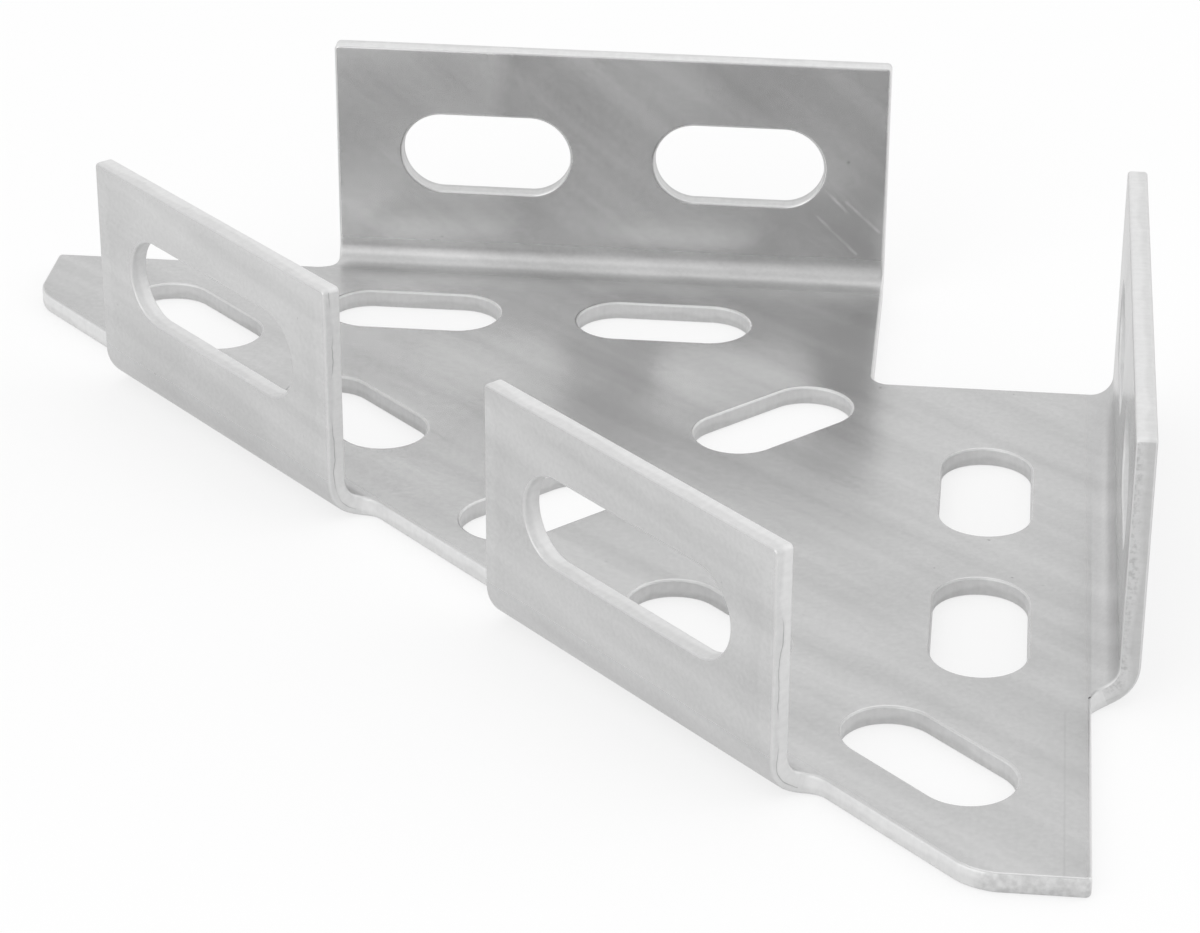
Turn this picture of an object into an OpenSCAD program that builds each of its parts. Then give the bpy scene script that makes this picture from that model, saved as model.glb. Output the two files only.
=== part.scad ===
// Strut gusset plate: one steel sheet with a square corner notch, folded up along its
// two legs and at two places along its slanted edge, and slotted for strut bolts.
// The plate lies on Z = 0. Its legs run along X and Y, the notched corner is at +X +Y
// and the slanted edge faces -X -Y. Both halves mirror each other about the middle line.

/* [Sheet] */
// thickness of the steel sheet
sheet_t = 3; // [2:0.1:4]
// inside radius of every bend
bend_r = 3.5; // [2.5:0.1:5]
// radius of the inside corner where a flange's end runs out into the plate's edge
root_r = 3.5; // [1:0.1:3.5]

/* [Plate] */
// length of a leg's straight edge, from the corner that the notch takes away to the tip
leg_l = 173; // [170:1:190]
// width of the plate at a tip's cut end, before its corner is rounded
tip_w = 15; // [12:0.5:20]
// radius of the corner between a tip's cut end and the slanted edge
tip_r = 8; // [2:0.5:14]
// side of the square corner notch, from the outer face of the other leg's flange
notch_w = 40.5; // [36:0.5:42.5]
// radius in the inside corner of the notch
notch_r = 2.5; // [0.5:0.1:6]

/* [Leg flanges] */
// length of each leg flange, along its leg from the notch
leg_flange_l = 91.5; // [86:0.5:104]
// height of each leg flange's top edge above the underside of the plate
leg_flange_h = 41.3; // [36:0.1:60]

/* [Slanted flanges] */
// length of plain edge between the two slanted flanges
slant_gap = 38; // [24:1:50]
// length of each slanted flange
slant_flange_l = 61.5; // [56:0.5:68]
// height of each slanted flange's top edge above the underside of the plate
slant_flange_h = 38; // [34:0.1:60]

/* [Flange slots] */
// width of every slot
slot_w = 13.5; // [8:0.1:14.5]
// overall length of every slot in the plate and in the leg flanges
slot_l = 28; // [20:0.5:31]
// distance from a leg flange's notch end to the middle of its first slot
leg_slot_start = 24.5; // [20:0.5:27.5]
// spacing of the two slots in a leg flange
leg_slot_pitch = 42; // [37:0.5:45]
// height of the leg flange slots' middle above the underside of the plate
leg_slot_z = 23; // [17:0.5:26]
// overall length of the slot in each slanted flange
slant_slot_l = 43.5; // [24:0.5:49]
// height of the slanted flange slots' middle above the underside of the plate
slant_slot_z = 22.5; // [17:0.5:24.5]

/* [Plate slots] */
// distance from the notch to the middle of the first slot in the row along a leg
row_slot_start = 35; // [30:0.5:38]
// spacing of the two slots in the row along a leg
row_slot_pitch = 41; // [37:0.5:44]
// distance of the row along a leg from the leg's edge
row_slot_in = 15.5; // [10.5:0.5:20]
// distance of the row along the slanted edge from that edge
slant_row_in = 15; // [10.5:0.5:18]
// distance of the inner slots of the slanted row from the middle line
slant_row_near = 42.5; // [38:0.5:46]
// distance of the outer slots of the slanted row from the middle line
slant_row_far = 87.5; // [83:0.5:92]
// distance of the first slot on the middle line from the slanted edge
mid_slot_in = 19; // [18:0.5:21]
// spacing of the two slots on the middle line
mid_slot_pitch = 45; // [34:0.5:47]

/* [Hidden] */
$fn = 96;
// outside radius of a bend, which is how far a flange's outer face stands past the edge
bend_out = bend_r + sheet_t;
// root corner radius, kept within the inside of the bend
root = min(root_r, bend_r);
// side of the notch on the flat plate, from the line of the other leg's edge
notch = notch_w - bend_out;
// distance of the slanted edge from the legs' corner, along the middle line
slant_at = (leg_l + tip_w) / sqrt(2);
// distance of the part's middle from the legs' corner, along each leg
centre_at = (leg_l - bend_out) / 2;
// overlap of joined shapes and overrun of cutters
lap = 1;
steel = [0.80, 0.80, 0.80];

// Draws a shape on the X leg and its mirror image on the Y leg.
module both_legs() {
    children();
    mirror([1, -1, 0]) children();
}

// Turns to the slanted edge: X runs along it from the middle line, +Y points out of it.
// The turn of 135 degrees is made in two steps, which keep its scale true to nine digits.
module from_slant() {
    rotate([0, 0, 104]) rotate([0, 0, 31]) translate([0, slant_at, 0]) children();
}

// Quarter of a disc of radius r in the square from [0, 0] to [r, r], about its corner [0, r].
module quarter_disc(r) {
    intersection() {
        square(r);
        translate([0, r]) circle(r = r);
    }
}

// Round-ended slot about the origin, long along X.
module slot_outline(length) {
    run = length - slot_w;
    square([run, slot_w], center = true);
    translate([-run / 2, 0]) circle(d = slot_w);
    translate([run / 2, 0]) circle(d = slot_w);
}

// Cutter for one slot through the plate, long along X.
module plate_slot() {
    translate([0, 0, -lap]) linear_extrude(sheet_t + 2 * lap) slot_outline(slot_l);
}

// Cutter for the tip of the X leg, which rounds its corner with the slanted edge.
module tip_rounding() {
    reach = tip_r + lap;
    translate([-leg_l + tip_r, -tip_w + tip_r * (sqrt(2) - 1)]) difference() {
        polygon([
            [0, 0], [-reach, 0], [-reach, -reach * (sqrt(2) - 1)],
            [-reach * sqrt(0.5), -reach * sqrt(0.5)]
        ]);
        circle(r = tip_r);
    }
}

// Outline of the flat plate, with the legs' corner at the origin.
module plate_outline() {
    difference() {
        translate([-leg_l, -leg_l]) square(leg_l);
        translate([-notch, -notch]) square(notch + lap);
        from_slant() translate([-leg_l, 0]) square([2 * leg_l, leg_l]);
        both_legs() tip_rounding();
    }
    difference() {
        translate([-notch - lap, -notch - lap]) square(notch_r + lap);
        translate([-notch + notch_r, -notch + notch_r]) circle(r = notch_r);
    }
}

// Section of a flange: plate edge at X = 0, outer face at X = bend_out, Y is height.
module flange_section(height) {
    translate([-lap, 0]) square([lap, sheet_t]);
    difference() {
        quarter_disc(bend_out);
        translate([0, sheet_t]) quarter_disc(bend_r);
    }
    translate([bend_r, bend_out]) square([sheet_t, height - bend_out]);
}

// Clears the sheet beyond a flange's free end at X = 0, down to the curve of its root.
module end_clearance(height) {
    translate([0, 0, -lap]) linear_extrude(height + 2 * lap) {
        translate([-root - lap, root]) square([root + lap, bend_out]);
        translate([-root, 0]) quarter_disc(root);
    }
}

// Flange along X from 0 to length, folded up at Y = 0 from a plate on the -Y side. Its
// start runs out into the plate's edge; its far end does so too, or is cut square.
module flange(length, height, square_end, slot_length, slot_z, slot_at) {
    difference() {
        translate([-root, 0, 0]) rotate([90, 0, 90])
            linear_extrude(length + (square_end ? root : 2 * root)) flange_section(height);
        end_clearance(height);
        if (!square_end) translate([length, 0, 0]) mirror([1, 0, 0]) end_clearance(height);
        for (x = slot_at)
            translate([x, bend_out + lap, slot_z]) rotate([90, 0, 0])
                linear_extrude(sheet_t + 2 * lap) slot_outline(slot_length);
    }
}

module gusset_plate() {
    color(steel) translate([centre_at, centre_at, 0]) {
        difference() {
            linear_extrude(sheet_t) plate_outline();
            both_legs() for (i = [0, 1])
                translate([-notch - row_slot_start - i * row_slot_pitch, -row_slot_in, 0]) plate_slot();
            from_slant() {
                for (side = [-1, 1], x = [slant_row_near, slant_row_far])
                    translate([side * x, -slant_row_in, 0]) plate_slot();
                for (i = [0, 1])
                    translate([0, -mid_slot_in - i * mid_slot_pitch, 0]) rotate([0, 0, 90]) plate_slot();
            }
        }
        both_legs() translate([-notch - leg_flange_l, 0, 0])
            flange(leg_flange_l, leg_flange_h, true, slot_l, leg_slot_z,
                [leg_flange_l - leg_slot_start, leg_flange_l - leg_slot_start - leg_slot_pitch]);
        from_slant() for (x = [slant_gap / 2, -slant_gap / 2 - slant_flange_l])
            translate([x, 0, 0]) flange(slant_flange_l, slant_flange_h, false, slant_slot_l,
                slant_slot_z, [slant_flange_l / 2]);
    }
}

gusset_plate();
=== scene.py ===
import bpy
import math
from mathutils import Matrix, Vector


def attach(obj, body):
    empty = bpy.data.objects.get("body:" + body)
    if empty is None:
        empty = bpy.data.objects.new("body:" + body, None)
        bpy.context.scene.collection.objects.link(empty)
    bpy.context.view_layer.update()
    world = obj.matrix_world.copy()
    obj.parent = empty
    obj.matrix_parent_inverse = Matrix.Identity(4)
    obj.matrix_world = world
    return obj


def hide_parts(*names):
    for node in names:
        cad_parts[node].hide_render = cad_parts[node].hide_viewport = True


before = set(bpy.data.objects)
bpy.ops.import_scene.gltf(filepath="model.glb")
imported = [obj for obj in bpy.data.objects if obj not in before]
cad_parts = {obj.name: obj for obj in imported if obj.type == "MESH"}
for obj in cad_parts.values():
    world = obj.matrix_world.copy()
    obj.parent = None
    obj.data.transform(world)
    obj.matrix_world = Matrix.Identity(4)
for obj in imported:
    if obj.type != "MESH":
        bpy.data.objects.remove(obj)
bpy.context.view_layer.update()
print("frame loaded")


# Folded sheet

foldedSheet = {
    "sheet": 0.003,
    "bendOut": 0.0065,  # outside radius of the folds
    "corner": 0.08325,  # the legs' corner, on X and on Y
    "leg": 0.173,
    "tip": 0.015,
    "notch": 0.034,
    "legFlange": 0.0915,
    "legHeight": 0.0413,
    "gap": 0.038,
    "slantFlange": 0.0615,
    "slantHeight": 0.038,
    "notchRound": 0.0025,
    "rootRound": 0.0035,
    "tipRound": 0.008,
    "cornerRound": 0.0008,
    "roundSteps": 10,
    "foldSteps": 12,
    "foldLead": 0.00002,  # keeps the first fold line off the plate's edge
    "rimWidth": 0.0005,  # rounded rim that shearing and zinc leave on every edge
    "rimSteps": 4,
    "rimAngle": 40,  # degrees, above which an edge is a cut edge
    "rimDulling": 0.4,  # how soon the finish turns dull over a rim
    "endFacing": 0.9,  # how squarely a face looks along its flange, to be the flange's end
    "normalWeight": 80,  # large faces keep their normals, so that rims don't shade them
    "near": 0.00001,  # points closer than this are one point
    "flatAngle": 0.1,  # degrees, below which neighbouring faces are one face
}

boltSlots = {
    "width": 0.0135,
    "length": 0.028,
    "endSteps": 64,
    "legHeight": 0.023,
    "legStart": 0.0245,
    "legPitch": 0.042,
    "slantLength": 0.0435,
    "slantHeight": 0.0225,
    "rowStart": 0.035,
    "rowPitch": 0.041,
    "rowIn": 0.0155,
    "slantIn": 0.015,
    "slantAlong": (0.0425, 0.0875),
    "middleIn": 0.019,
    "middlePitch": 0.045,
    "wallNear": 0.0002,  # a slot's wall lies this close to its outline
    "wallFacing": 0.3,  # and leans no further towards the sheet's faces
}

half = math.sqrt(0.5)
foldMiddle = foldedSheet["bendOut"] - foldedSheet["sheet"] / 2
foldLength = foldMiddle * math.pi / 2
slantReach = (foldedSheet["leg"] + foldedSheet["tip"]) * half  # legs' corner to slanted edge
slantStart = foldedSheet["gap"] / 2  # slanted flanges, along their edge from the middle line
slantEnd = slantStart + foldedSheet["slantFlange"]


def flatReach(height):
    # how far a point at this height lies past the fold line in the flat sheet
    return foldLength + height - foldedSheet["bendOut"]


def onSlant(along, out):
    # a point by its place along the slanted edge and its distance outside it
    corner = foldedSheet["corner"]
    inward = (slantReach + out) * half
    return corner - inward - along * half, corner - inward + along * half


def pastSlant(place):
    # how far a point of the flat sheet lies outside the slanted edge
    return (2 * foldedSheet["corner"] - place.x - place.y) * half - slantReach


def sliceSheet(place, across, clear):
    bpy.ops.mesh.select_all(action="SELECT")
    bpy.ops.mesh.bisect(plane_co=(*place, 0), plane_no=(*across, 0), clear_outer=clear)


def pickParts(sheet, kind, test):
    # selects the vertices, edges or faces whose middle passes the test
    bpy.ops.mesh.select_mode(type=kind)
    bpy.ops.mesh.select_all(action="DESELECT")
    bpy.ops.object.mode_set(mode="OBJECT")
    mesh = sheet.data
    if kind == "VERT":
        for vertex in mesh.vertices:
            vertex.select = test(vertex.co)
    if kind == "EDGE":
        for edge in mesh.edges:
            first, second = edge.vertices
            edge.select = test((mesh.vertices[first].co + mesh.vertices[second].co) / 2)
    if kind == "FACE":
        for face in mesh.polygons:
            face.select = test(face.center)
    bpy.ops.object.mode_set(mode="EDIT")


def drawFlange(sheet, test, shift):
    pickParts(sheet, "EDGE", test)
    bpy.ops.mesh.extrude_region_move(TRANSFORM_OT_translate={"value": shift})


def roundCorners(sheet, spots, radius, share):
    # share is the length of straight edge that a corner's curve takes up, over its radius
    points = [Vector((*spot, 0)) for spot in spots]
    near = foldedSheet["near"]
    pickParts(sheet, "VERT", lambda place: min((place - point).length for point in points) < near)
    steps = foldedSheet["roundSteps"]
    bpy.ops.mesh.bevel(offset=radius * share, segments=steps, affect="VERTICES", profile=0.5)


def drawBlank():
    corner = foldedSheet["corner"]
    leg = foldedSheet["leg"]
    tip = foldedSheet["tip"]
    near = foldedSheet["near"]
    inner = corner - foldedSheet["notch"]
    flangeEnd = inner - foldedSheet["legFlange"]
    bpy.ops.object.select_all(action="DESELECT")
    bpy.ops.mesh.primitive_plane_add(size=leg, location=(corner - leg / 2, corner - leg / 2, 0))
    sheet = bpy.context.active_object
    sheet.name = "gussetSheet"
    bpy.ops.object.transform_apply(location=True, rotation=True, scale=True)
    bpy.ops.object.mode_set(mode="EDIT")

    # slanted edge, and the lines where the notch and the flanges start and end
    sliceSheet(onSlant(0, 0), (-half, -half), True)
    for place in (inner, flangeEnd):
        sliceSheet((place, 0), (1, 0), False)
        sliceSheet((0, place), (0, 1), False)
    for along in (-slantEnd, -slantStart, slantStart, slantEnd):
        sliceSheet(onSlant(along, 0), (-half, half), False)
    pickParts(sheet, "FACE", lambda place: place.x > inner and place.y > inner)
    bpy.ops.mesh.delete(type="FACE")

    def underBack(place):
        return abs(place.y - corner) < near and flangeEnd < place.x < inner

    def underRight(place):
        return abs(place.x - corner) < near and flangeEnd < place.y < inner

    def underSlant(place):
        along = abs(place.y - place.x) * half
        return abs(pastSlant(place)) < near and slantStart < along < slantEnd

    # flanges, still flat
    legReach = flatReach(foldedSheet["legHeight"])
    slantedReach = flatReach(foldedSheet["slantHeight"])
    drawFlange(sheet, underBack, (0, legReach, 0))
    drawFlange(sheet, underRight, (legReach, 0, 0))
    drawFlange(sheet, underSlant, (-slantedReach * half, -slantedReach * half, 0))
    bpy.ops.mesh.select_all(action="SELECT")
    bpy.ops.mesh.remove_doubles(threshold=near)
    bpy.ops.mesh.dissolve_limited(angle_limit=math.radians(foldedSheet["flatAngle"]))

    # curves of the outline: notch, flange roots, flange corners and tips
    roots = [(flangeEnd, corner), (corner, flangeEnd)]
    tops = [(inner, corner + legReach), (flangeEnd, corner + legReach)]
    tops += [(corner + legReach, inner), (corner + legReach, flangeEnd)]
    for along in (-slantEnd, -slantStart, slantStart, slantEnd):
        roots.append(onSlant(along, 0))
        tops.append(onSlant(along, slantedReach))
    tops += [(corner - leg, corner), (corner, corner - leg)]
    tips = [(corner - leg, corner - tip), (corner - tip, corner - leg)]
    roundCorners(sheet, [(inner, inner)], foldedSheet["notchRound"], 1)
    roundCorners(sheet, roots, foldedSheet["rootRound"], 1)
    roundCorners(sheet, tops, foldedSheet["cornerRound"], 1)
    roundCorners(sheet, tips, foldedSheet["tipRound"], math.tan(math.pi / 8))  # tips turn by 45 degrees
    bpy.ops.object.mode_set(mode="OBJECT")
    thick = sheet.modifiers.new("thick", "SOLIDIFY")
    thick.thickness = foldedSheet["sheet"]
    thick.offset = 1
    bpy.ops.object.modifier_apply(modifier="thick")
    print("blank drawn:", len(sheet.data.vertices), "points")
    return sheet


def slotPlaces():
    # middle, turn in degrees and length of every slot in the flat sheet
    corner = foldedSheet["corner"]
    inner = corner - foldedSheet["notch"]
    length = boltSlots["length"]
    slantMiddle = (slantStart + slantEnd) / 2
    places = []
    for index in (0, 1):
        flangeX = inner - boltSlots["legStart"] - index * boltSlots["legPitch"]
        flangeY = corner + flatReach(boltSlots["legHeight"])
        rowX = inner - boltSlots["rowStart"] - index * boltSlots["rowPitch"]
        rowY = corner - boltSlots["rowIn"]
        for x, y in ((flangeX, flangeY), (rowX, rowY)):
            places.append(((x, y), 0, length))
            places.append(((y, x), 90, length))
        out = -boltSlots["middleIn"] - index * boltSlots["middlePitch"]
        places.append((onSlant(0, out), 45, length))
    for side in (-1, 1):
        slantUp = flatReach(boltSlots["slantHeight"])
        places.append((onSlant(side * slantMiddle, slantUp), 135, boltSlots["slantLength"]))
        for along in boltSlots["slantAlong"]:
            places.append((onSlant(side * along, -boltSlots["slantIn"]), 135, length))
    return places


def cutSlots(sheet):
    thick = foldedSheet["sheet"]
    steps = boltSlots["endSteps"]
    bpy.ops.object.select_all(action="DESELECT")
    bpy.ops.mesh.primitive_cylinder_add(
        vertices=steps,
        radius=boltSlots["width"] / 2,
        depth=2 * thick,
        location=(0, 0, thick / 2),
        rotation=(0, 0, math.pi / steps),
    )
    punch = bpy.context.active_object
    bpy.ops.object.transform_apply(location=True, rotation=True, scale=True)
    punches = []
    for place, turn, length in slotPlaces():
        copied = bpy.data.objects.new("punch", punch.data.copy())
        bpy.context.scene.collection.objects.link(copied)
        run = (length - boltSlots["width"]) / 2
        for vertex in copied.data.vertices:
            vertex.co.x += run if vertex.co.x > 0 else -run
        turned = Matrix.Rotation(math.radians(turn), 4, "Z")
        copied.data.transform(Matrix.Translation((*place, 0)) @ turned)
        punches.append(copied)
    bpy.data.objects.remove(punch)
    bpy.ops.object.select_all(action="DESELECT")
    for copied in punches:
        copied.select_set(True)
    bpy.context.view_layer.objects.active = punches[0]
    bpy.ops.object.join()
    bpy.ops.object.select_all(action="DESELECT")
    sheet.select_set(True)
    bpy.context.view_layer.objects.active = sheet
    cut = sheet.modifiers.new("slots", "BOOLEAN")
    cut.operation = "DIFFERENCE"
    cut.solver = "EXACT"
    cut.object = punches[0]
    bpy.ops.object.modifier_apply(modifier="slots")
    bpy.data.objects.remove(punches[0])
    print("slots cut:", len(slotPlaces()))


def markFolds():
    # even lines across each fold, which the sheet bends at
    corner = foldedSheet["corner"]
    steps = foldedSheet["foldSteps"]
    bpy.ops.object.mode_set(mode="EDIT")
    bpy.ops.mesh.select_mode(type="FACE")
    for step in range(steps + 1):
        past = max(foldedSheet["foldLead"], foldLength * step / steps)
        sliceSheet((0, corner + past), (0, 1), False)
        sliceSheet((corner + past, 0), (1, 0), False)
        sliceSheet(onSlant(0, past), (-half, -half), False)
    bpy.ops.object.mode_set(mode="OBJECT")


def roundRims(sheet):
    rim = sheet.modifiers.new("rim", "BEVEL")
    rim.width = foldedSheet["rimWidth"]
    rim.segments = foldedSheet["rimSteps"]
    rim.limit_method = "ANGLE"
    rim.angle_limit = math.radians(foldedSheet["rimAngle"])
    rim.use_clamp_overlap = False
    rim.loop_slide = False
    rim.miter_outer = "MITER_SHARP"
    bpy.ops.object.modifier_apply(modifier="rim")
    print("rims rounded:", len(sheet.data.polygons), "faces")


def besideSlot(place, slots):
    # whether a point of the flat sheet lies on a slot's wall
    for middle, turn, length in slots:
        away = Vector((place.x - middle[0], place.y - middle[1]))
        along = Vector((math.cos(math.radians(turn)), math.sin(math.radians(turn))))
        run = (length - boltSlots["width"]) / 2
        nearest = along * max(-run, min(run, away.dot(along)))
        if (away - nearest).length < boltSlots["width"] / 2 + boltSlots["wallNear"]:
            return True
    return False


def onFlangeEnd(face):
    # whether a face of the flat sheet is the cut end of a flange
    corner = foldedSheet["corner"]
    squarely = foldedSheet["endFacing"]
    if face.center.y > corner:
        return abs(face.normal.x) > squarely
    if face.center.x > corner:
        return abs(face.normal.y) > squarely
    if pastSlant(face.center) > 0:
        return abs(face.normal.y - face.normal.x) * half > squarely
    return False


def markSheet(sheet):
    # flat places for the grain, and which faces are cut edges, slot walls and flange ends
    mesh = sheet.data
    flat = mesh.attributes.new("flatSheet", "FLOAT_VECTOR", "POINT")
    for vertex in mesh.vertices:
        flat.data[vertex.index].vector = vertex.co
    cut = mesh.attributes.new("cutEdge", "FLOAT", "FACE")
    punched = mesh.attributes.new("slotWall", "FLOAT", "FACE")
    ending = mesh.attributes.new("flangeEnd", "FLOAT", "FACE")
    slots = slotPlaces()
    for face in mesh.polygons:
        facing = abs(face.normal.z)
        inSlot = facing < boltSlots["wallFacing"] and besideSlot(face.center, slots)
        cut.data[face.index].value = min(1.0, (1.0 - facing) / foldedSheet["rimDulling"])
        punched.data[face.index].value = 1.0 if inSlot else 0.0
        ending.data[face.index].value = 1.0 if onFlangeEnd(face) and not inSlot else 0.0


def foldUp(past, depth):
    # distance outside the fold line and height, after folding
    turn = min(past, foldLength) / foldMiddle
    radius = foldedSheet["bendOut"] - depth
    rise = max(past - foldLength, 0)
    return radius * math.sin(turn), foldedSheet["bendOut"] - radius * math.cos(turn) + rise


def foldSheet(sheet):
    corner = foldedSheet["corner"]
    for vertex in sheet.data.vertices:
        place = vertex.co
        slant = pastSlant(place)
        if place.y > corner:
            out, height = foldUp(place.y - corner, place.z)
            vertex.co = (place.x, corner + out, height)
        elif place.x > corner:
            out, height = foldUp(place.x - corner, place.z)
            vertex.co = (corner + out, place.y, height)
        elif slant > 0:
            out, height = foldUp(slant, place.z)
            shift = (slant - out) * half
            vertex.co = (place.x + shift, place.y + shift, height)
    sheet.data.update()
    bpy.ops.object.shade_smooth()
    even = sheet.modifiers.new("evenNormals", "WEIGHTED_NORMAL")
    even.keep_sharp = False
    even.weight = foldedSheet["normalWeight"]
    bpy.ops.object.modifier_apply(modifier="evenNormals")
    print("flanges folded up")


def makeSheet():
    sheet = drawBlank()
    cutSlots(sheet)
    markFolds()
    roundRims(sheet)
    markSheet(sheet)
    foldSheet(sheet)
    return sheet


# Shader nodes that the finish, the floor and the world are made from

nodeGrid = {
    "left": -4000,
    "across": 200,
    "down": 180,
    "rows": 12,
}

noiseSpan = (0.3, 0.7)  # nearly all of a noise's values


def addNode(tree, kind):
    # nodes stand in columns, in the order in which they are made
    column, row = divmod(len(tree.nodes), nodeGrid["rows"])
    node = tree.nodes.new(kind)
    node.location = (nodeGrid["left"] + column * nodeGrid["across"], -row * nodeGrid["down"])
    return node


def setSocket(tree, socket, value):
    # a fixed value stands on the socket, and another node's output is linked to it
    if isinstance(value, (int, float, Vector)):
        socket.default_value = value
    else:
        tree.links.new(value, socket)


def addAttribute(tree, name):
    attribute = addNode(tree, "ShaderNodeAttribute")
    attribute.attribute_name = name
    return attribute


def addNoise(tree, vector, scale, detail):
    noise = addNode(tree, "ShaderNodeTexNoise")
    noise.inputs["Scale"].default_value = scale
    noise.inputs["Detail"].default_value = detail
    tree.links.new(vector, noise.inputs["Vector"])
    return noise.outputs[0]


def addStretch(tree, vector, turn, scale):
    turned = addNode(tree, "ShaderNodeMapping")
    turned.inputs["Rotation"].default_value = (0, 0, math.radians(turn))
    tree.links.new(vector, turned.inputs["Vector"])
    stretched = addNode(tree, "ShaderNodeMapping")
    stretched.inputs["Scale"].default_value = scale
    tree.links.new(turned.outputs[0], stretched.inputs["Vector"])
    return stretched.outputs[0]


def addRange(tree, value, span, low, high):
    # low at the span's start, high at its end, and no further outside it
    ranged = addNode(tree, "ShaderNodeMapRange")
    ranged.inputs["From Min"].default_value = span[0]
    ranged.inputs["From Max"].default_value = span[1]
    ranged.inputs["To Min"].default_value = low
    ranged.inputs["To Max"].default_value = high
    tree.links.new(value, ranged.inputs["Value"])
    return ranged.outputs[0]


def addContrast(tree, noise, contrast):
    return addRange(tree, noise, noiseSpan, -contrast, contrast)


def addMath(tree, operation, first, second=0.0):
    sums = addNode(tree, "ShaderNodeMath")
    sums.operation = operation
    setSocket(tree, sums.inputs[0], first)
    setSocket(tree, sums.inputs[1], second)
    return sums.outputs[0]


def addChain(tree, operation, values):
    # one operation over a row of values, such as their sum or product
    result = values[0]
    for value in values[1:]:
        result = addMath(tree, operation, result, value)
    return result


def addVectorMath(tree, operation, first, second):
    sums = addNode(tree, "ShaderNodeVectorMath")
    sums.operation = operation
    setSocket(tree, sums.inputs[0], first)
    setSocket(tree, sums.inputs[1], second)
    return sums


def addMix(tree, share, first, second):
    mix = addNode(tree, "ShaderNodeMix")
    mix.data_type = "FLOAT"
    tree.links.new(share, mix.inputs[0])
    setSocket(tree, mix.inputs[2], first)
    setSocket(tree, mix.inputs[3], second)
    return mix.outputs[0]


def readSheet(tree):
    # places on the flat sheet and its marks, as sockets that the finish is made from
    corner = foldedSheet["corner"]
    flat = addAttribute(tree, "flatSheet").outputs["Vector"]
    spot = addNode(tree, "ShaderNodeSeparateXYZ")
    tree.links.new(flat, spot.inputs[0])
    total = addMath(tree, "ADD", spot.outputs["X"], spot.outputs["Y"])
    inward = addMath(tree, "MULTIPLY", total, -half)
    return {
        "flat": flat,
        "x": spot.outputs["X"],
        "y": spot.outputs["Y"],
        "z": spot.outputs["Z"],
        "pastSlant": addMath(tree, "ADD", inward, 2 * corner * half - slantReach),
        "cutEdge": addAttribute(tree, "cutEdge").outputs["Fac"],
        "slotWall": addAttribute(tree, "slotWall").outputs["Fac"],
        "flangeEnd": addAttribute(tree, "flangeEnd").outputs["Fac"],
    }


# Rolled zinc sheet

rolledZinc = {
    "grey": 0.64,
    "rollingTurn": 40,  # degrees from the sheet's X to its rolling direction, clockwise
    "bandScale": (11, 130, 60),  # along, across and through the rolled sheet
    "bandContrast": 0.050,
    "streakScale": (18, 430, 300),
    "streakContrast": 0.014,
    "grainScale": 1500,
    "grainContrast": 0.018,
    "patchScale": 60,
    "patchSpan": (0.42, 0.60),
    "patchContrast": 0.011,
    "speckScale": 620,
    "speckSpan": (0.79, 0.81),  # only a noise's few highest spots are specks
    "speckDrop": 0.15,
    "roughness": 0.25,  # its changes stay below 0.27: crossing that leaves marks in a denoised render
    "cloudScale": 55,
    "cloudSpan": (0.35, 0.65),
    "cloudRoughness": 0.010,
    "streakRoughness": 0.006,
    "foldRoughness": 0.14,  # folding dulls the zinc
    "foldBlend": 0.001,
}


def rolledStretch(tree, sheetMarks, scale):
    return addStretch(tree, sheetMarks["flat"], rolledZinc["rollingTurn"], scale)


def addRolling(tree, sheetMarks):
    # tones of the rolled sheet, and the two noises that other marks follow
    flat = sheetMarks["flat"]
    patch = rolledZinc["patchContrast"]
    bands = addNoise(tree, rolledStretch(tree, sheetMarks, rolledZinc["bandScale"]), 1, detail=2)
    streaks = addNoise(tree, rolledStretch(tree, sheetMarks, rolledZinc["streakScale"]), 1, detail=2)
    grain = addNoise(tree, flat, rolledZinc["grainScale"], detail=1)
    patches = addNoise(tree, flat, rolledZinc["patchScale"], detail=1)
    specks = addNoise(tree, flat, rolledZinc["speckScale"], detail=1)
    sheetMarks["streaks"] = streaks
    sheetMarks["patches"] = patches
    return [
        addContrast(tree, bands, rolledZinc["bandContrast"]),
        rolledZinc["grey"],
        addContrast(tree, streaks, rolledZinc["streakContrast"]),
        addContrast(tree, grain, rolledZinc["grainContrast"]),
        addRange(tree, patches, rolledZinc["patchSpan"], -patch, patch),
        addRange(tree, specks, rolledZinc["speckSpan"], 0, -rolledZinc["speckDrop"]),
    ]


def addRoughness(tree, sheetMarks):
    # cloudy and streaky gloss, duller on the folds
    middle = rolledZinc["roughness"]
    change = rolledZinc["cloudRoughness"]
    dulling = rolledZinc["foldRoughness"]
    blend = rolledZinc["foldBlend"]
    clouds = addNoise(tree, sheetMarks["flat"], rolledZinc["cloudScale"], detail=1)
    cloudy = addRange(tree, clouds, rolledZinc["cloudSpan"], middle - change, middle + change)
    streaky = addContrast(tree, sheetMarks["streaks"], rolledZinc["streakRoughness"])
    pastBack = addMath(tree, "SUBTRACT", sheetMarks["y"], foldedSheet["corner"])
    pastRight = addMath(tree, "SUBTRACT", sheetMarks["x"], foldedSheet["corner"])
    past = addChain(tree, "MAXIMUM", (pastBack, pastRight, sheetMarks["pastSlant"]))
    afterStart = addRange(tree, past, (-blend, blend), 0, dulling)
    beforeEnd = addRange(tree, past, (foldLength - blend, foldLength + blend), dulling, 0)
    folded = addMath(tree, "MINIMUM", afterStart, beforeEnd)
    return addChain(tree, "ADD", (cloudy, streaky, folded))


# Scratches, a guide line and a darker patch, at places on the flat sheet

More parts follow.
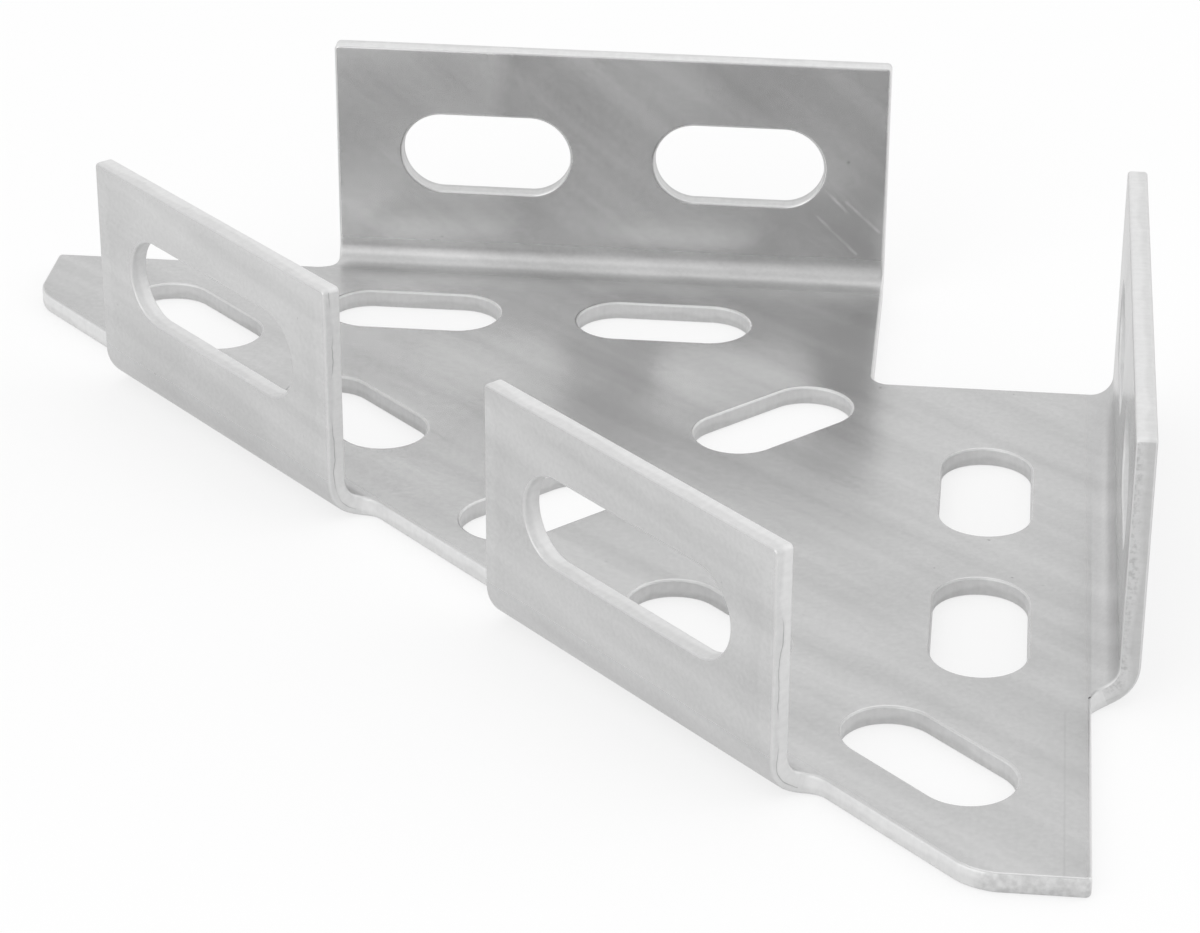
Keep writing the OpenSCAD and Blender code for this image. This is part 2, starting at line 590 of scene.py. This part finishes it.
handlingMarks = {
    "scratches": (  # ends of the light scratches on the back flange
        ((0.0392, 0.1040), (0.0427, 0.1004)),
        ((0.0427, 0.1021), (0.0481, 0.0971)),
        ((0.0380, 0.0992), (0.0445, 0.0929)),
    ),
    "scratchWidth": 0.0004,
    "scratchLift": 0.20,
    "wornScale": 400,  # scratches come and go along their length
    "wornSpan": (0.35, 0.65),
    "wornLeast": 0.3,
    "linePlace": 0.0797,  # faint guide line along the front tip's outer edge
    "lineWidth": 0.00022,
    "lineStart": -0.047,
    "lineFade": 0.004,
    "lineDrop": 0.05,
    "darkPatchStart": -0.0125,  # darker tone under the back flange's top edge, from left to right
    "darkPatchEnd": 0.032,
    "darkPatchEdge": 0.004,  # softness of its left edge
    "darkPatchUneven": 0.001,
    "darkPatchDepth": 0.030,
    "darkPatchDrop": 0.15,
}


def addScratch(tree, flat, ends):
    # 1 along a thin line between two points of the flat sheet's top, 0 at its width
    start, finish = [Vector((*end, foldedSheet["sheet"])) for end in ends]
    along = (finish - start).normalized()
    away = addVectorMath(tree, "SUBTRACT", flat, start).outputs["Vector"]
    reach = addVectorMath(tree, "DOT_PRODUCT", away, along).outputs["Value"]
    reach = addMath(tree, "MAXIMUM", reach, 0.0)
    reach = addMath(tree, "MINIMUM", reach, (finish - start).length)
    nearest = addNode(tree, "ShaderNodeVectorMath")
    nearest.operation = "SCALE"
    nearest.inputs[0].default_value = along
    tree.links.new(reach, nearest.inputs["Scale"])
    aside = addVectorMath(tree, "DISTANCE", away, nearest.outputs["Vector"]).outputs["Value"]
    return addRange(tree, aside, (0, handlingMarks["scratchWidth"]), 1, 0)


def addScratches(tree, sheetMarks):
    flat = sheetMarks["flat"]
    wear = addNoise(tree, flat, handlingMarks["wornScale"], detail=1)
    worn = addRange(tree, wear, handlingMarks["wornSpan"], handlingMarks["wornLeast"], 1)
    lines = [addScratch(tree, flat, ends) for ends in handlingMarks["scratches"]]
    allLines = addChain(tree, "ADD", lines)
    return addChain(tree, "MULTIPLY", (allLines, handlingMarks["scratchLift"], worn))


def addGuideLine(tree, sheetMarks):
    start = handlingMarks["lineStart"]
    offLine = addMath(tree, "SUBTRACT", sheetMarks["x"], handlingMarks["linePlace"])
    offLine = addMath(tree, "ABSOLUTE", offLine)
    onLine = addRange(tree, offLine, (0, handlingMarks["lineWidth"]), 1, 0)
    onTip = addRange(tree, sheetMarks["y"], (start - handlingMarks["lineFade"], start), 1, 0)
    return addChain(tree, "MULTIPLY", (onLine, onTip, -handlingMarks["lineDrop"]))


def addDarkPatch(tree, sheetMarks):
    # on the flange's inner face, fading to the right and downwards
    start = handlingMarks["darkPatchStart"]
    thick = foldedSheet["sheet"]
    top = foldedSheet["corner"] + flatReach(foldedSheet["legHeight"])
    uneven = addContrast(tree, sheetMarks["patches"], handlingMarks["darkPatchUneven"])
    across = addMath(tree, "ADD", sheetMarks["x"], uneven)
    rising = addRange(tree, across, (start - handlingMarks["darkPatchEdge"], start), 0, 1)
    fading = addRange(tree, across, (start, handlingMarks["darkPatchEnd"]), -handlingMarks["darkPatchDrop"], 0)
    upward = addRange(tree, sheetMarks["y"], (top - handlingMarks["darkPatchDepth"], top), 0, 1)
    inside = addRange(tree, sheetMarks["z"], (thick / 3, thick * 2 / 3), 0, 1)
    return addChain(tree, "MULTIPLY", (rising, fading, upward, inside))


# Pale tide marks on the slanted flanges

tideMarks = {
    "frameWidth": 0.0026,  # along the flanges' edges
    "frameBlend": 0.0004,
    "frameLift": 0.022,
    "haloWidth": 0.0045,  # around their slots
    "haloBlend": (-0.0012, 0.0006),
    "haloLift": 0.016,
    "wobbleScale": 160,
    "wobble": 0.0008,
    "start": (0.006, 0.010),  # how far past the fold line the marks begin
}


def addTideMarks(tree, sheetMarks):
    past = sheetMarks["pastSlant"]
    width = tideMarks["frameWidth"]
    blend = tideMarks["frameBlend"]
    slotRun = (boltSlots["slantLength"] - boltSlots["width"]) / 2
    along = addMath(tree, "SUBTRACT", sheetMarks["y"], sheetMarks["x"])
    along = addMath(tree, "MULTIPLY", addMath(tree, "ABSOLUTE", along), half)
    wobbly = addNoise(tree, sheetMarks["flat"], tideMarks["wobbleScale"], detail=2)
    wobble = addContrast(tree, wobbly, tideMarks["wobble"])

    # distance from the nearest edge of the flange
    fromEnd = addMath(tree, "SUBTRACT", slantEnd, along)
    fromStart = addMath(tree, "SUBTRACT", along, slantStart)
    fromTop = addMath(tree, "SUBTRACT", flatReach(foldedSheet["slantHeight"]), past)
    inward = addChain(tree, "MINIMUM", (fromEnd, fromStart, fromTop))
    inward = addMath(tree, "ADD", inward, wobble)
    frameTone = addRange(tree, inward, (width - blend, width + blend), tideMarks["frameLift"], 0)

    # distance from the middle line of the slot
    beside = addMath(tree, "SUBTRACT", along, (slantStart + slantEnd) / 2)
    beside = addMath(tree, "SUBTRACT", addMath(tree, "ABSOLUTE", beside), slotRun)
    beside = addMath(tree, "MAXIMUM", beside, 0.0)
    above = addMath(tree, "SUBTRACT", past, flatReach(boltSlots["slantHeight"]))
    besideSquare = addMath(tree, "MULTIPLY", beside, beside)
    aboveSquare = addMath(tree, "MULTIPLY", above, above)
    outward = addMath(tree, "SQRT", addMath(tree, "ADD", besideSquare, aboveSquare))
    outward = addMath(tree, "ADD", outward, wobble)
    rim = boltSlots["width"] / 2 + tideMarks["haloWidth"]
    haloSpan = [rim + blend for blend in tideMarks["haloBlend"]]
    haloTone = addRange(tree, outward, haloSpan, tideMarks["haloLift"], 0)

    onFlange = addRange(tree, past, tideMarks["start"], 0, 1)
    return addMath(tree, "MULTIPLY", addMath(tree, "MAXIMUM", frameTone, haloTone), onFlange)


# Sheared and punched edges of the sheet

cutEdges = {
    "grey": 0.75,
    "roughness": 0.55,
    "metal": 0.5,  # cut edges are dull
    "drawnScale": (1300, 1300, 80),  # lines that the tool draws through the sheet
    "drawnContrast": 0.015,
    "mottleScale": 1100,
    "mottleContrast": 0.02,
    "wanderScale": 110,  # the torn band and the cracks wander along an edge
    "wander": 0.0006,
    "tornDepth": 0.0013,  # depth of the torn band on a sheared edge
    "tornBlend": 0.0003,
    "tornDrop": 0.06,
    "tornRoughness": 0.12,
    "crackScale": 70,
    "crackSpan": (0.44, 0.52),
    "crackDepth": 0.0011,
    "crackWidth": 0.00010,
    "crackDrop": 0.32,
    "slotWallShade": 0.10,  # painted shade: the plate's slot walls are darker, as in a recess
    "plateBlend": 0.001,
    "pitScale": 2000,  # fine pits on the right flange's ends
    "pitSpan": (0.45, 0.70),
    "pitDepth": (0.0012, 0.0022),
    "pitDrop": 0.14,
    "rightDrop": 0.12,  # those ends are duller
    "rightBlend": 0.004,
    "tipReach": (0.0002, 0.0008),  # the front tip's end is dark and mottled
    "tipSpan": (0.35, 0.65),
    "tipLeast": 0.4,
    "tipDrop": 0.16,
    "tearScale": 900,
    "tearShare": 3.0,  # height of the torn band's grain over that of the drawn lines
    "tearBump": 0.02,
    "tearHeight": 0.00005,
}


def addTorn(tree, sheetMarks):
    # drawn lines, and a torn band next to the sheet's lower face
    depth = cutEdges["tornDepth"]
    blend = cutEdges["tornBlend"]
    stretched = rolledStretch(tree, sheetMarks, cutEdges["drawnScale"])
    wandering = addNoise(tree, sheetMarks["flat"], cutEdges["wanderScale"], detail=3)
    wander = addContrast(tree, wandering, cutEdges["wander"])
    wavy = addMath(tree, "ADD", sheetMarks["z"], wander)
    sheetMarks["drawn"] = addNoise(tree, stretched, 1, detail=3)
    sheetMarks["wavy"] = wavy
    sheetMarks["torn"] = addRange(tree, wavy, (depth - blend, depth + blend), 1, 0)


def addCracks(tree, sheetMarks, ends):
    # thin cracks along some stretches of the flanges' ends
    offCrack = addMath(tree, "SUBTRACT", sheetMarks["wavy"], cutEdges["crackDepth"])
    offCrack = addMath(tree, "ABSOLUTE", offCrack)
    crack = addRange(tree, offCrack, (0, cutEdges["crackWidth"]), 1, 0)
    broken = addNoise(tree, sheetMarks["flat"], cutEdges["crackScale"], detail=2)
    stretches = addRange(tree, broken, cutEdges["crackSpan"], 0, 1)
    return addChain(tree, "MULTIPLY", (crack, stretches, ends, -cutEdges["crackDrop"]))


def addPits(tree, sheetMarks, ends):
    # fine pits on the inner half of the right flange's ends
    pitted = addNoise(tree, sheetMarks["flat"], cutEdges["pitScale"], detail=2)
    pits = addRange(tree, pitted, cutEdges["pitSpan"], 0, cutEdges["pitDrop"])
    inside = addRange(tree, sheetMarks["wavy"], cutEdges["pitDepth"], 0, 1)
    pits = addMath(tree, "MULTIPLY", pits, inside)
    pits = addMath(tree, "ADD", pits, cutEdges["rightDrop"])
    return addMath(tree, "MULTIPLY", pits, ends)


def addTipEnd(tree, sheetMarks, mottles, inPlate):
    tipEnd = foldedSheet["corner"] - foldedSheet["leg"]
    reach = [tipEnd + distance for distance in cutEdges["tipReach"]]
    onTip = addRange(tree, sheetMarks["y"], reach, 1, 0)
    mottled = addRange(tree, mottles, cutEdges["tipSpan"], cutEdges["tipLeast"], 1)
    return addChain(tree, "MULTIPLY", (onTip, inPlate, mottled, cutEdges["tipDrop"]))


def addCutTone(tree, sheetMarks):
    corner = foldedSheet["corner"]
    grey = cutEdges["grey"]
    change = cutEdges["drawnContrast"]
    blend = cutEdges["plateBlend"]
    inPlate = addRange(tree, sheetMarks["pastSlant"], (-blend, blend), 1, 0)
    onRight = addRange(tree, sheetMarks["x"], (corner, corner + cutEdges["rightBlend"]), 0, 1)
    rightEnds = addMath(tree, "MULTIPLY", sheetMarks["flangeEnd"], onRight)
    otherEnds = addMath(tree, "SUBTRACT", sheetMarks["flangeEnd"], rightEnds)
    mottles = addNoise(tree, sheetMarks["flat"], cutEdges["mottleScale"], detail=3)
    tone = addChain(tree, "ADD", (
        addRange(tree, sheetMarks["drawn"], noiseSpan, grey - change, grey + change),
        addMath(tree, "MULTIPLY", sheetMarks["torn"], -cutEdges["tornDrop"]),
        addCracks(tree, sheetMarks, otherEnds),
        # painted shade darkens the plate's slot walls
        addChain(tree, "MULTIPLY", (sheetMarks["slotWall"], inPlate, -cutEdges["slotWallShade"])),
        addContrast(tree, mottles, -cutEdges["mottleContrast"]),
    ))
    tone = addMath(tree, "SUBTRACT", tone, addPits(tree, sheetMarks, rightEnds))
    return addMath(tree, "SUBTRACT", tone, addTipEnd(tree, sheetMarks, mottles, inPlate))


def addCutRelief(tree, sheetMarks):
    # relief of the drawn lines and of the torn band's grain
    grain = addNoise(tree, sheetMarks["flat"], cutEdges["tearScale"], detail=4)
    tear = addChain(tree, "MULTIPLY", (grain, sheetMarks["torn"], cutEdges["tearShare"]))
    relief = addMath(tree, "ADD", tear, sheetMarks["drawn"])
    relief = addMath(tree, "MULTIPLY", relief, sheetMarks["cutEdge"])
    bump = addNode(tree, "ShaderNodeBump")
    bump.inputs["Strength"].default_value = cutEdges["tearBump"]
    bump.inputs["Distance"].default_value = cutEdges["tearHeight"]
    tree.links.new(relief, bump.inputs["Height"])
    return bump.outputs[0]


def makeZinc():
    zinc = bpy.data.materials.new("brightZincSheet")
    zinc.use_nodes = True
    tree = zinc.node_tree
    shader = tree.nodes["Principled BSDF"]
    sheetMarks = readSheet(tree)
    cut = sheetMarks["cutEdge"]
    cutRoughness = cutEdges["roughness"]
    addTorn(tree, sheetMarks)

    tones = addRolling(tree, sheetMarks)
    tones.append(addScratches(tree, sheetMarks))
    tones.append(addGuideLine(tree, sheetMarks))
    tones.append(addTideMarks(tree, sheetMarks))
    tones.append(addDarkPatch(tree, sheetMarks))
    tone = addMix(tree, cut, addChain(tree, "ADD", tones), addCutTone(tree, sheetMarks))
    metal = addRange(tree, cut, (0, 1), 1, cutEdges["metal"])
    tornRoughness = cutRoughness + cutEdges["tornRoughness"]
    cutRough = addRange(tree, sheetMarks["torn"], (0, 1), cutRoughness, tornRoughness)
    rough = addMix(tree, cut, addRoughness(tree, sheetMarks), cutRough)
    tree.links.new(tone, shader.inputs["Base Color"])
    tree.links.new(metal, shader.inputs["Metallic"])
    tree.links.new(rough, shader.inputs["Roughness"])
    tree.links.new(addCutRelief(tree, sheetMarks), shader.inputs["Normal"])
    print("zinc finish made:", len(tree.nodes), "nodes")
    return zinc


sheet = makeSheet()
sheet.data.materials.clear()
sheet.data.materials.append(makeZinc())
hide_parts("gusset_plate")
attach(sheet, "root")


# Floor and light

studio = {
    "floorSize": 6.0,
    "floorDrop": 0.00004,  # keeps the floor just below the plate's underside
    "floorGrey": 0.85,
    "floorGlow": 0.72,  # share of the floor that shows as plain white
    "floorMirror": 0.86,  # brightness of that white in reflections
    "worldLight": 0.95,
    "mirrorLight": 0.85,
    "darkSide": (0.62, -0.72, 0.36),  # the studio's dark end, which the metal reflects
    "darkCore": 32,  # degrees from its middle that are darkest
    "darkEdge": 53,  # degrees at which it has gone
    "darkLevel": 0.30,
    "softboxes": {  # power in watts, size and place
        "keySoftbox": (6.0, 1.2, (-0.85, -1.25, 0.80)),
        "sideSoftbox": (4.2, 1.4, (1.25, 0.07, 0.58)),
        "topSoftbox": (1.2, 1.0, (0.1, 0.3, 1.3)),
    },
}


def makeFloor():
    bpy.ops.object.select_all(action="DESELECT")
    bpy.ops.mesh.primitive_plane_add(size=studio["floorSize"], location=(0, 0, -studio["floorDrop"]))
    floor = bpy.context.active_object
    floor.name = "floor"
    bpy.ops.object.transform_apply(location=True, rotation=True, scale=True)
    paper = bpy.data.materials.new("whitePaper")
    paper.use_nodes = True
    tree = paper.node_tree
    tree.nodes.clear()
    grey = studio["floorGrey"]
    shade = addNode(tree, "ShaderNodeBsdfDiffuse")
    shade.inputs["Color"].default_value = (grey, grey, grey, 1)
    glow = addNode(tree, "ShaderNodeEmission")
    ray = addNode(tree, "ShaderNodeLightPath")
    bright = addRange(tree, ray.outputs["Is Glossy Ray"], (0, 1), 1, studio["floorMirror"])
    tree.links.new(bright, glow.inputs["Strength"])
    kinds = ("Is Camera Ray", "Is Glossy Ray", "Is Transmission Ray")
    seen = addChain(tree, "ADD", [ray.outputs[kind] for kind in kinds])
    seen = addMath(tree, "MINIMUM", seen, 1.0)
    mix = addNode(tree, "ShaderNodeMixShader")
    tree.links.new(addMath(tree, "MULTIPLY", seen, studio["floorGlow"]), mix.inputs[0])
    tree.links.new(shade.outputs[0], mix.inputs[1])
    tree.links.new(glow.outputs[0], mix.inputs[2])
    output = addNode(tree, "ShaderNodeOutputMaterial")
    tree.links.new(mix.outputs[0], output.inputs["Surface"])
    floor.data.materials.append(paper)


def makeWorld():
    # plain white behind the part, with a dark end that only its reflections show
    world = bpy.data.worlds.new("studioWhite")
    bpy.context.scene.world = world
    world.use_nodes = True
    tree = world.node_tree
    background = tree.nodes["Background"]
    background.inputs["Color"].default_value = (1, 1, 1, 1)
    ray = addNode(tree, "ShaderNodeLightPath")
    plain = addMath(tree, "ADD", ray.outputs["Is Camera Ray"], ray.outputs["Is Transmission Ray"])
    plain = addMath(tree, "MINIMUM", plain, 1.0)
    outlook = addNode(tree, "ShaderNodeTexCoord").outputs["Generated"]
    darkMiddle = Vector(studio["darkSide"]).normalized()
    facing = addVectorMath(tree, "DOT_PRODUCT", outlook, darkMiddle).outputs["Value"]
    core = math.cos(math.radians(studio["darkCore"]))
    edge = math.cos(math.radians(studio["darkEdge"]))
    mirrored = addRange(tree, facing, (edge, core), studio["mirrorLight"], studio["darkLevel"])
    strength = addMix(tree, ray.outputs["Is Glossy Ray"], studio["worldLight"], mirrored)
    strength = addMix(tree, plain, strength, 1.0)
    tree.links.new(strength, background.inputs["Strength"])


def addSoftbox(name, power, size, place):
    # an area lamp that points at the part
    bpy.ops.object.select_all(action="DESELECT")
    bpy.ops.object.light_add(type="AREA", location=place)
    box = bpy.context.active_object
    box.name = name
    box.data.energy = power
    box.data.size = size
    box.rotation_euler = (-Vector(place)).to_track_quat("-Z", "Y").to_euler()


makeFloor()
makeWorld()
for name, (power, size, place) in studio["softboxes"].items():
    addSoftbox(name, power, size, place)
print("floor and lights made")


# Camera at the photograph's angle

viewpoint = {
    "place": (0.06530, -0.50394, 0.27272),
    "heading": 6.124,  # degrees to the left of +Y
    "down": 27.302,  # degrees below the horizon
    "roll": 0.211,  # degrees
    "lens": 116.61,  # millimetres, as the sensor is
    "sensor": 36,
    "nearest": 0.01,  # clipping distance
}


def makeCamera():
    bpy.ops.object.select_all(action="DESELECT")
    bpy.ops.object.camera_add()
    camera = bpy.context.active_object
    camera.data.lens = viewpoint["lens"]
    camera.data.sensor_width = viewpoint["sensor"]
    camera.data.clip_start = viewpoint["nearest"]
    turn = Matrix.Rotation(math.radians(viewpoint["heading"]), 4, "Z")
    tilt = Matrix.Rotation(math.radians(90 - viewpoint["down"]), 4, "X")
    roll = Matrix.Rotation(math.radians(viewpoint["roll"]), 4, "Z")
    camera.matrix_world = Matrix.Translation(viewpoint["place"]) @ turn @ tilt @ roll
    bpy.context.scene.camera = camera


makeCamera()
bpy.context.scene.view_settings.view_transform = "Standard"
print("camera placed")
